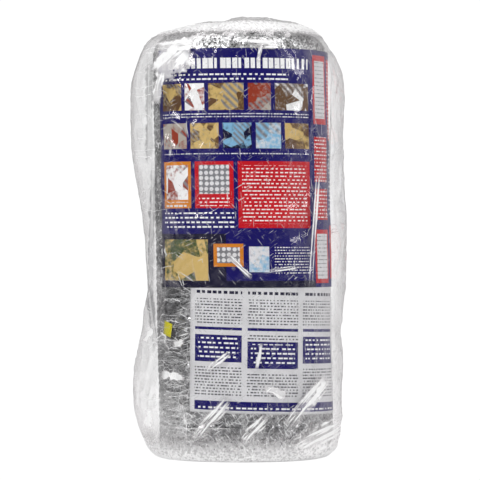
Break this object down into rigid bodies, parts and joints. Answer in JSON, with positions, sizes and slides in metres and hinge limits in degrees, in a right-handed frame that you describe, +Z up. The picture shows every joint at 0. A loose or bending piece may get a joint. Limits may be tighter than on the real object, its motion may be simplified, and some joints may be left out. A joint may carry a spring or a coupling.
{
  "type": "bagged insulation roll",
  "caption": "Upright roll of foil-faced bubble insulation with a printed paper wrap and a leaflet, in a loose clear film bag.",
  "frame": {"origin": "middle of the bag's foot, on the floor", "axes": "+Z up along the standing roll, -Y towards the front with the print, +X to the right seen from the front"},
  "size_m": [0.3106, 0.2308, 0.6318],
  "materials": {
    "foil_bubble": "crinkled reflective foil over small round bubbles",
    "printed_paper": "glossy coated paper printed in navy, red and white",
    "white_paper": "smooth white paper with fine navy print",
    "yellow_tab": "matt yellow paper tab",
    "clear_film": "thin clear polyethylene film, glossy and wrinkled"
  },
  "bodies": {
    "root": {"insulation_roll": "foil_bubble", "printed_wrap": "printed_paper", "instruction_leaflet": "white_paper", "yellow_tab": "yellow_tab", "clear_bag": "clear_film"}
  },
  "joints": []
}
